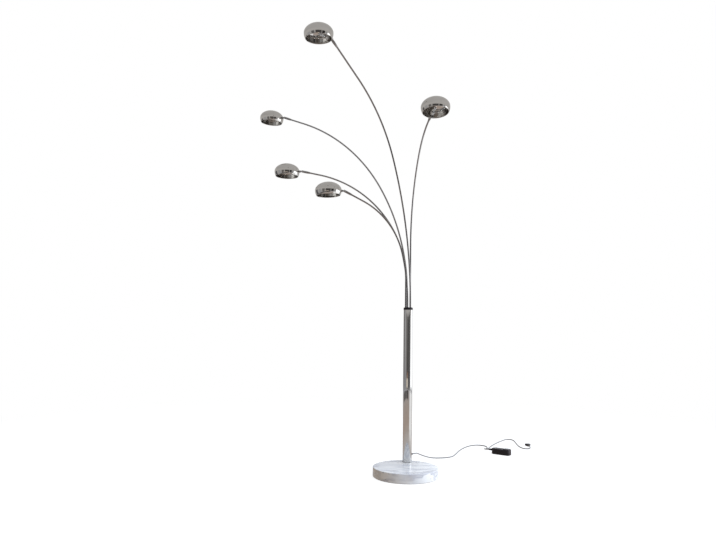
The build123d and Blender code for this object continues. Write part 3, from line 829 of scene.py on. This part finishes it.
def lead(name, points, node):
    """A cord as a smooth curve close by its points."""
    curve = bpy.data.curves.new(name, "CURVE")
    curve.dimensions = "3D"
    curve.resolution_u = 16
    curve.bevel_depth = cord_d / 2
    curve.bevel_resolution = 6
    curve.use_fill_caps = True
    line = curve.splines.new("NURBS")
    line.points.add(len(points) - 1)
    for spot, point in zip(line.points, points):
        spot.co = (*point, 1)
    line.order_u = 3
    line.use_endpoint_u = True
    curve.materials.append(GREY_CORD)
    made = placed(name, curve)
    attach(made, "stand")
    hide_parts(node)
    return made


# ---- base, pole and collar
def base_and_pole():
    disc = turned(softened([
        (0, marble_top), (base_d / 2, marble_top, marble_top_round),
        (base_d / 2, felt_t, marble_bottom_round), (0, felt_t)], 6), base_sides, closed=False)
    below = -0.001
    pocket = turned([(0, below), (counterbore_r, below), (counterbore_r, counterbore_top),
                     (0, counterbore_top)], closed=False)
    pocket.transform(pole_place)
    piece("marble_disc", smooth(cut(disc, pocket)), MARBLE, "stand", replaces=["marble_base"])
    r, bore = pole_d / 2, pole_d / 2 - pole_wall
    tube = turned(softened([
        (r, pole_foot, edge_round), (r, pole_top, edge_round), (bore, pole_top), (bore, pole_foot)], 3),
        tube_sides)
    piece("pole", smooth(tube), CHROME_TUBE, "stand", pole_place, ["pole_tube"])
    r, plug_r, plug_end = collar_d / 2, bore - collar_plug_gap, pole_top - collar_plug_len
    cap = turned(softened([
        (0, collar_top), (r - collar_rim_in, collar_top, collar_round),
        (r - collar_step_in, collar_top - collar_step_h, edge_round),
        (r, collar_top - 2 * collar_step_h, collar_round), (r, pole_top, collar_round),
        (plug_r, pole_top), (plug_r, plug_end), (0, plug_end)]), tube_sides, closed=False)
    piece("collar", smooth(cap), BLACK_PLASTIC, "stand", pole_place, ["top_collar"])


def bushes():
    bore, top, foot = arm_d / 2 + bush_gap, collar_top + bush_flange_t, collar_top - bush_neck
    flanges = []
    for number in arms:
        flange = turned(softened([
            (bore, foot), (bore, top, 0.0003), (bush_flange_d / 2, top, 0.0005),
            (bush_flange_d / 2, collar_top - bush_sunk), (arm_d / 2 + bush_wall, foot)], 3), small_sides)
        flange.transform(hole_place(number))
        flanges.append(flange)
    piece("bushes", smooth(joined(*flanges)), BLACK_PLASTIC, "stand", pole_place,
          ["arm_bushes"])


# ---- arms
def arm(number):
    body = f"arm_{number}"
    _, _, bend_start, r1, sweep1, r2, sweep2, tail, _ = arms[number]
    tube = grown(BENT_TUBE, {
        "Foot Height": arm_seat, "Bend Start": bend_start, "First Radius": r1,
        "First Sweep": radians(sweep1), "Second Radius": r2, "Second Sweep": radians(sweep2),
        "Tail": tail, "Diameter": arm_d, "Steps": 240, "Sides": 32, "Material": SHADED_CHROME_ARM})
    piece(f"{body}_bent_tube", smooth(tube), SHADED_CHROME_ARM, body, arm_place(number),
          [f"{body}_tube"])
    r, tip_r, back = sleeve_d / 2, arm_d / 2 + 0.00005, -sleeve_over_arm
    seam_r = r - sleeve_seam_depth
    sleeve = turned(softened([
        (tip_r, back), (sleeve_tail_d / 2, back, 0.0005), (r, back + sleeve_tail_len, 0.001),
        (r, -0.001), (seam_r, -0.0006), (seam_r, 0.0002), (r, 0.0006),
        (r, sleeve_past_arm, 0.0008), (0, sleeve_past_arm), (0, back)], 4))
    piece(f"{body}_end_sleeve", smooth(sleeve), SHADED_CHROME_ARM, body, end_place(number),
          [f"{body}_sleeve"])


# ---- shades
def bun_line(radius, crown, skirt_axis, skirt, steps=40):
    """Half outline of the bun from its crown down to its rim."""
    low = -asin(skirt / skirt_axis)
    upper = [Vector((radius * cos(t), crown * sin(t)))
             for t in (pi / 2 * (1 - k / steps) for k in range(steps + 1))]
    lower = [Vector((radius * cos(t), skirt_axis * sin(t)))
             for t in (low * k / (steps // 2) for k in range(1, steps // 2 + 1))]
    upper[0].x = 0
    return upper + lower


def shade(number):
    body = f"shade_{number}"
    place = shade_place(number)
    r = shade_d / 2
    outside = bun_line(r, shade_crown, shade_skirt_axis, shade_skirt)
    inside = bun_line(*(size - shade_wall for size in (r, shade_crown, shade_skirt_axis)), shade_skirt)
    bead_at = Vector(((outside[-1].x + inside[-1].x) / 2, -shade_skirt + rim_bead_r))
    bead = [bead_at + Vector((cos(t), sin(t))) * rim_bead_r
            for t in (radians(20 - 22 * k) for k in range(11))]
    dome = turned(outside[:-1] + bead + list(reversed(inside[:-1])), dome_sides, closed=False)
    piece(f"{body}_bun", smooth(dome, 50), CHROME_SHADE, body,
          place @ Matrix.Translation((shade_centre, 0, 0)), [f"{body}_dome"])
    boss_r, boss_end = holder_boss_d / 2, holder_start + holder_boss_len
    r, mouth_end = holder_d / 2, holder_end - mouth_depth
    waist_r = r - holder_waist_in
    waist = [boss_end + z for z in holder_waist]
    socket = turned(softened([
        (0, holder_start), (boss_r, holder_start, 0.0004), (boss_r, boss_end), (r, boss_end, 0.0010),
        (r, waist[0]), (waist_r, waist[1]), (waist_r, waist[2]), (r, waist[3]),
        (r, holder_end, 0.0012), (mouth_r, holder_end), (mouth_r, mouth_end), (0, mouth_end)], 4),
        closed=False)
    piece(f"{body}_socket", smooth(socket), CERAMIC, body, place @ OUTWARD, [f"{body}_holder"])
    r = bulb_d / 2
    tip = holder_end + bulb_len - r
    round_end = [(r * cos(t), tip + r * sin(t)) for t in (pi / 2 * k / 12 for k in range(12))]
    neck = softened([(bulb_neck_r, mouth_end), (bulb_neck_r, holder_end + bulb_neck_end, 0.0015),
                     (r, holder_end + bulb_swell_end, 0.002)])
    capsule = turned([(0, mouth_end)] + neck + round_end + [(0, tip + r)], small_sides, closed=False)
    piece(f"{body}_capsule", smooth(capsule, 60), BULB_GLASS, body, place @ OUTWARD,
          [f"{body}_bulb"])


# ---- reliefs, switch and plug
def relief(name, place, start, root_d, tip_d, length, ribs, finish, replaces=(), back=0.0):
    """Ribbed cone round the cord where it leaves a housing, along Z from start."""
    r, end = root_d / 2, start + length
    core = turned(softened([
        (0, start - back), (r, start - back, 0.0003), (r, start + relief_collar, relief_collar_round),
        (r - relief_neck_in, start + relief_neck), (tip_d / 2 - 0.0002, end, 0.0003), (0, end)], 3),
        small_sides, closed=False)
    rings = grown(RIBS, {
        "Count": ribs, "First": start + rib_first, "Last": end - rib_last,
        "Root Diameter": root_d - rib_root_in, "Tip Diameter": tip_d - rib_tip_in,
        "Rib Thickness": rib_t, "Material": finish})
    return piece(name, smooth(joined(core, rings), 60), finish, "stand", place, replaces)


def switch_line(inset):
    """The switch's outline: clipped corners at the cords' end, round at the other."""
    half_l, half_w = switch_len / 2 - inset, switch_w / 2 - inset
    clip = switch_chamfer - inset * (2 - sqrt(2))
    corners = softened([
        (-half_l, -half_w + clip, switch_clip_round), (-half_l + clip, -half_w, switch_clip_round),
        (half_l, -half_w, switch_corner_r - inset), (half_l, half_w, switch_corner_r - inset),
        (-half_l + clip, half_w, switch_clip_round), (-half_l, half_w - clip, switch_clip_round)], 8)
    return [tuple(p) for p in corners]


def moulding(levels):
    """Closed moulding through the switch's outline at (inset, height) levels."""
    return stacked([[(*p, z) for p in switch_line(inset)] for inset, z in levels])


def quarter(r, z, out, steps=6):
    """(inset, height) levels of a quarter round at height z, from flush inwards if out is True."""
    turns = [pi / 2 * k / steps for k in range(steps + 1)]
    return [(r * (1 - cos(t)), z - r + r * sin(t)) for t in turns] if out else [
        (r * (1 - sin(t)), z + r - r * cos(t)) for t in turns]


def switch():
    lip = switch_lip
    past = 0.01
    cover = moulding([(lip, switch_tray_h), (0, switch_tray_h + lip)]
                     + quarter(switch_top_round, switch_h, True))
    cover = cut(cover, grown(BARS, {
        "Count": groove_count, "Pitch": groove_pitch, "From": groove_from, "To": groove_to,
        "Height": switch_h + groove_lift, "Thickness": 2 * groove_depth, "Material": BLACK_PLASTIC}))
    opening = pedal_side + 2 * pedal_gap
    cover = cut(cover, block(opening, pedal_well, switch_h + past, pedal_centre))
    cover = bevelled(cover, cover_edge, 2)
    tray = moulding(quarter(switch_foot_round, 0.0, False)
                    + [(0, switch_tray_h - lip), (lip, switch_tray_h)])
    button = block(pedal_side, pedal_seat, switch_h + pedal_proud, pedal_centre)
    button = bevelled(button, pedal_edge, 5)
    for name, mesh, finish, body, slot, node in (
            ("switch_top", cover, BLACK_PLASTIC, "stand", "black_plastic", "switch_cover"),
            ("switch_bottom", tray, BLACK_PLASTIC, "stand", "black_plastic", "switch_tray"),
            ("pedal_button", button, PEDAL_PLASTIC, "foot_pedal", "pedal_plastic", "switch_pedal")):
        piece(name, smooth(mesh, 40), finish, body, switch_place, [node])
    for side, name in ((-1, "switch_relief_in"), (1, "switch_relief_out")):
        away = Matrix.Translation((-switch_len / 2, side * port_pitch / 2, port_z)) @ OUTWARD.inverted()
        relief(name, switch_place @ away, 0.0, nozzle_root_d, nozzle_tip_d, nozzle_len, 7, BLACK_PLASTIC,
               back=0.001)


def bulged(share, half, power):
    """A share of a half width, from -1 to 1, raised so that a low power squares the section."""
    return half * abs(share) ** power * (1 if share >= 0 else -1)


def plug():
    """Flat plug, wide at its face and narrow at the cord, lofted along X."""
    sections = []
    for x, w, t in (
            (0.0, 0.0075, 0.0075), (0.004, 0.0080, 0.0078), (0.016, 0.0086, 0.0084),
            (0.021, 0.0095, 0.0090), (0.025, 0.0150, 0.0118), (0.030, 0.0185, 0.0130),
            (0.038, 0.0250, plug_t), (0.047, 0.0318, plug_t), (0.053, plug_face_w - 0.0008, plug_t),
            (0.0552, plug_face_w - 0.0014, plug_t - 0.0006),
            (0.0558, plug_face_w - 0.0026, plug_t - 0.0018),
            (0.056, plug_face_w - 0.0040, plug_t - 0.0030)):
        power = 1.0 if x < plug_nozzle_len else 0.5
        sections.append([
            (x, bulged(cos(a), w / 2, power), bulged(sin(a), t / 2, power))
            for a in (2 * pi * k / small_sides for k in range(small_sides))])
    shell = with_modifiers(stacked(sections), ("SUBSURF", {"levels": 2, "render_levels": 2}))
    piece("plug_moulding", smooth(shell, 60), BLACK_PLASTIC, "stand", plug_place,
          ["plug_body"])
    face = plug_nozzle_len + plug_len
    pins, sleeves = [], []
    r = plug_pin_d / 2
    for side in (-1, 1):
        spot = Matrix.Translation((0, side * plug_pin_pitch / 2, 0)) @ OUTWARD
        for parts, radius, low, high, tip_round, steps in (
                (pins, r - 0.0001, face + 0.009, face + plug_pin_len, 0.0012, 4),
                (sleeves, r, face - 0.002, face + 0.010, 0.0002, 3)):
            line = softened([(0, low), (radius, low), (radius, high, tip_round), (0, high)], steps)
            mesh = turned(line, pin_sides, closed=False)
            mesh.transform(spot)
            parts.append(mesh)
    return (piece("plug_pin_tips", smooth(joined(*pins)), BRASS, "stand",
                  plug_place, ["plug_pins"]),
            piece("plug_pin_sleeves", smooth(joined(*sleeves)), BLACK_PLASTIC, "stand",
                  plug_place))


# ---- CAD nodes that stay
def dress_kept_nodes():
    kept = {"base_felt": FELT, "pole_foot_gasket": BLACK_RUBBER, "arm_guide": BLACK_PLASTIC}
    kept.update((node, STEEL) for node in
                ("pole_foot_plug", "base_bolt", "base_washer", "guide_rod", "guide_nut"))
    for number in arms:
        kept.update({f"arm_{number}_fork": SHADED_CHROME_ARM, f"arm_{number}_pin": STEEL,
                     f"shade_{number}_eye": SHADED_CHROME_ARM})
    for node, finish in kept.items():
        dress(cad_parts[node].data, finish)


# ---- floor, light and surroundings
room_r, room_h, room_sides = 3.4, 2.7, 96
floor_x, floor_y, floor_t = 14, (-14, 22), 0.02
floor_grey, floor_glow, floor_fade = 0.34, 0.80, (1.4, 3.2)


def soft_card():
    """One inside a soft-edged patch, given in degrees round a wall and metres up it, or in degrees
    round the floor and metres out over it."""
    tree, at, sink = group("soft_card", {
        "Azimuth": ("f", 0.0), "Height": ("f", 0.0), "Centre Azimuth": ("f", 0.0),
        "Centre Height": ("f", 0.5), "Half Width": ("f", 10.0), "Half Height": ("f", 0.3),
        "Soft Width": ("f", 2.0), "Soft Height": ("f", 0.06)}, ("Mask",))

    def edge(value, centre, half, softness):
        away = maths(tree, "ABSOLUTE", minus(tree, value, centre))
        return spread(tree, away, minus(tree, half, softness), half, 1.0, 0.0)

    across = edge(at["Azimuth"], at["Centre Azimuth"], at["Half Width"], at["Soft Width"])
    up = edge(at["Height"], at["Centre Height"], at["Half Height"], at["Soft Height"])
    put_out(tree, sink, {"Mask": times(tree, across, up)})
    return tree


SOFT_CARD = soft_card()


def glowing(name):
    """An unlit material: itself, its tree, its position, that split into X, Y and Z, its azimuth in
    degrees, and its emission node. Azimuth is 0 towards the front and 90 towards the right."""
    made = bpy.data.materials.new(name)
    made.cycles.emission_sampling = "NONE"
    tree = bare(made)
    place = tree.nodes.new("ShaderNodeTexCoord").outputs["Object"]
    split = xyz(tree, place)
    azimuth = maths(tree, "ARCTAN2", split["X"], times(tree, split["Y"], -1.0))
    azimuth = times(tree, azimuth, 180 / pi)
    light = add(tree, "ShaderNodeEmission", {"Strength": 1.0})
    tree.links.new(light.outputs[0], tree.nodes.new("ShaderNodeOutputMaterial").inputs["Surface"])
    return made, tree, place, split, azimuth, light


def painted(tree, colour, azimuth, height, cards):
    """The colour with soft cards laid over it, each as centre, half sizes, softness and colour."""
    for centre, level, half_w, half_h, soft_w, soft_h, paint in cards:
        inside = use(tree, SOFT_CARD, {
            "Azimuth": azimuth, "Height": height, "Centre Azimuth": centre, "Centre Height": level,
            "Half Width": half_w, "Half Height": half_h, "Soft Width": soft_w,
            "Soft Height": soft_h})["Mask"]
        colour = mixed(tree, inside, colour, paint)
    return colour


def wall_material():
    """Grey wall with upright dark and pale strips, a bright window at right, warm patches low down."""
    made, tree, _, split, azimuth, light = glowing("studio_wall")
    height = over(tree, split["Z"], room_h)
    colour = ramp(tree, height, [
        (0.0, (0.50, 0.50, 0.52)), (0.14, (0.44, 0.42, 0.42)), (0.26, (0.50, 0.48, 0.46)),
        (0.45, (0.55, 0.53, 0.51)), (1.0, (0.60, 0.58, 0.56))])
    colour = painted(tree, colour, azimuth, split["Z"], [
        (-112, 0.90, 14, 0.90, 4, 0.05, (0.12, 0.12, 0.13)),
        (-76, 0.90, 14, 0.90, 5, 0.05, (0.44, 0.44, 0.45)),
        (-44, 0.85, 13, 0.85, 5, 0.05, (0.18, 0.17, 0.165)),
        (-4, 0.85, 24, 0.85, 5, 0.05, (0.085, 0.080, 0.078)),
        (-18, 0.16, 22, 0.12, 3, 0.04, (0.95, 0.86, 0.74)),
        (-12, 0.34, 16, 0.08, 3, 0.04, (0.30, 0.17, 0.11)),
        (34, 0.85, 14, 0.85, 4, 0.05, (0.040, 0.037, 0.037)),
        (60, 0.85, 9, 0.85, 6, 0.05, (0.38, 0.38, 0.39)),
        (98, 0.80, 28, 0.78, 5, 0.10, (2.4, 2.45, 2.5)),
        (150, 0.70, 26, 0.60, 8, 0.20, (0.95, 0.97, 1.0)),
        (-150, 0.60, 20, 0.60, 8, 0.20, (0.24, 0.22, 0.20)),
    ])
    tree.links.new(colour, light.inputs["Color"])
    return made


def lower_material():
    """What polished metal shows of the floor: pale close by, brown further off, dark beyond that in
    front and at left, bright at right."""
    made, tree, place, _, azimuth, light = glowing("studio_floor_reflected")
    away = add(tree, "ShaderNodeVectorMath", {0: place}, operation="LENGTH").outputs["Value"]
    colour = ramp(tree, over(tree, away, room_r), [
        (0.0, (0.66, 0.67, 0.70)), (0.13, (0.60, 0.54, 0.50)), (0.22, (0.53, 0.43, 0.37)),
        (0.45, (0.52, 0.44, 0.39)), (0.75, (0.50, 0.46, 0.44)), (1.0, (0.44, 0.42, 0.41))])
    colour = painted(tree, colour, azimuth, away, [
        (88, 2.0, 46, 1.9, 12, 0.7, (1.20, 1.20, 1.20)),
        (-60, 2.9, 60, 0.75, 8, 0.15, (0.17, 0.16, 0.155)),
        (-4, 2.9, 20, 0.85, 8, 0.15, (0.10, 0.090, 0.085)),
    ])
    tree.links.new(colour, light.inputs["Color"])
    return made


def ceiling_material():
    made, tree, place, split, _, light = glowing("studio_ceiling")
    across = spread(tree, split["X"], -room_r, room_r)
    mottled = spread(tree, noise(tree, place, 0.8, 3), 0.3, 0.7, 0.0, 0.2)
    colour = mixed(tree, across, (0.53, 0.515, 0.50), (0.62, 0.605, 0.59))
    colour = mixed(tree, mottled, colour, (0.48, 0.47, 0.46))
    tree.links.new(colour, light.inputs["Color"])
    return made


def set_surroundings():
    """A round studio wall, its ceiling and its floor, which only show as reflections."""
    ring = [round_spot(room_r, k, room_sides) for k in range(room_sides)]
    for name, low, high, made in (("studio_wall", 0.0, room_h, wall_material()),
                                  ("studio_ceiling", room_h, room_h + 0.05, ceiling_material()),
                                  ("studio_lower", -0.05, -0.001, lower_material())):
        mesh = prism(ring, low, high, capped=name != "studio_wall")
        mesh.materials.append(made)
        shell = placed(name, mesh)
        for kind in ("camera", "diffuse", "transmission", "volume_scatter", "shadow"):
            setattr(shell, f"visible_{kind}", False)


def set_backdrop():
    """White behind the lamp. Matt faces are lit cool from the right and above, warm from the left."""
    world = bpy.data.worlds.new("soft_studio")
    world.cycles.sampling_method = "NONE"
    bpy.context.scene.world = world
    tree = bare(world)
    facing = tree.nodes.new("ShaderNodeTexCoord").outputs["Generated"]
    towards = add(tree, "ShaderNodeVectorMath", {0: facing, 1: (0.75, 0.15, 0.64)},
                  operation="DOT_PRODUCT")
    share = spread(tree, towards.outputs["Value"], -0.4, 0.6)
    split = xyz(tree, facing)
    below = spread(tree, split["Z"], -0.30, -0.50)
    returned_left, returned_right = (0.24, 0.20, 0.17), (0.90, 0.95, 1.04)
    warm, cool = (0.24, 0.14, 0.03), (1.04, 1.18, 1.40)
    returned = mixed(tree, spread(tree, split["X"], -0.8, 0.8), returned_left, returned_right)
    colour = mixed(tree, share, warm, cool)
    colour = mixed(tree, below, colour, returned)
    soft = add(tree, "ShaderNodeBackground", {"Color": colour, "Strength": 1.0}).outputs[0]
    white = add(tree, "ShaderNodeBackground", {"Color": (1, 1, 1, 1), "Strength": 1.0}).outputs[0]
    matt = tree.nodes.new("ShaderNodeLightPath").outputs["Is Diffuse Ray"]
    both = add(tree, "ShaderNodeMixShader", {0: matt, 1: white, 2: soft}).outputs[0]
    tree.links.new(both, tree.nodes.new("ShaderNodeOutputWorld").inputs["Surface"])


def set_floor():
    """Plain white floor with only a faint shadow, level with the backdrop's white further off."""
    front, back = floor_y
    mesh = prism([(-floor_x, front), (floor_x, front), (floor_x, back), (-floor_x, back)], -floor_t, 0)
    floor = placed("floor", mesh)
    made = bpy.data.materials.new("pale_floor")
    made.cycles.emission_sampling = "NONE"
    tree = bare(made)
    place = tree.nodes.new("ShaderNodeTexCoord").outputs["Object"]
    away = add(tree, "ShaderNodeVectorMath", {0: place}, operation="LENGTH").outputs["Value"]
    lit = add(tree, "ShaderNodeBsdfDiffuse", {"Color": (*[floor_grey] * 3, 1)}).outputs[0]
    own = add(tree, "ShaderNodeEmission", {"Color": (1, 1, 1, 1), "Strength": floor_glow}).outputs[0]
    near = add(tree, "ShaderNodeAddShader", {0: lit, 1: own}).outputs[0]
    white = add(tree, "ShaderNodeEmission", {"Color": (1, 1, 1, 1), "Strength": 1.0}).outputs[0]
    fade = spread(tree, away, *floor_fade)
    both = add(tree, "ShaderNodeMixShader", {0: fade, 1: near, 2: white}).outputs[0]
    tree.links.new(both, tree.nodes.new("ShaderNodeOutputMaterial").inputs["Surface"])
    mesh.materials.append(made)
    floor.visible_glossy = False
    floor.visible_diffuse = False


def set_light():
    """One broad soft light from the right, a little in front."""
    data = bpy.data.lights.new("window_light", "AREA")
    data.shape, data.size, data.size_y, data.energy = "RECTANGLE", 1.6, 1.8, 75
    light = placed("window_light", data)
    spot, aim = Vector((2.9, -1.1, 1.9)), Vector((0, 0.1, 0.3))
    light.location = spot
    light.rotation_euler = (aim - spot).to_track_quat("-Z", "Y").to_euler()
    light.visible_glossy = False
    bpy.context.scene.view_settings.view_transform = "Standard"


set_camera()
to_switch = lead("lead_to_switch", route_to_switch, "cord_to_switch")
to_plug = lead("lead_to_plug", route_to_plug, "cord_to_plug")
base_and_pole()
bushes()
for number in arms:
    arm(number)
    shade(number)
grommet = relief("pole_grommet", lead_place @ OUTWARD, gland_start, gland_root_d, gland_tip_d,
                 gland_len, 6, GREY_RUBBER, ["cable_grommet"], back=0.003)
switch()
plug_tips, plug_sleeves = plug()
dress_kept_nodes()
set_surroundings()
set_backdrop()
set_floor()
set_light()
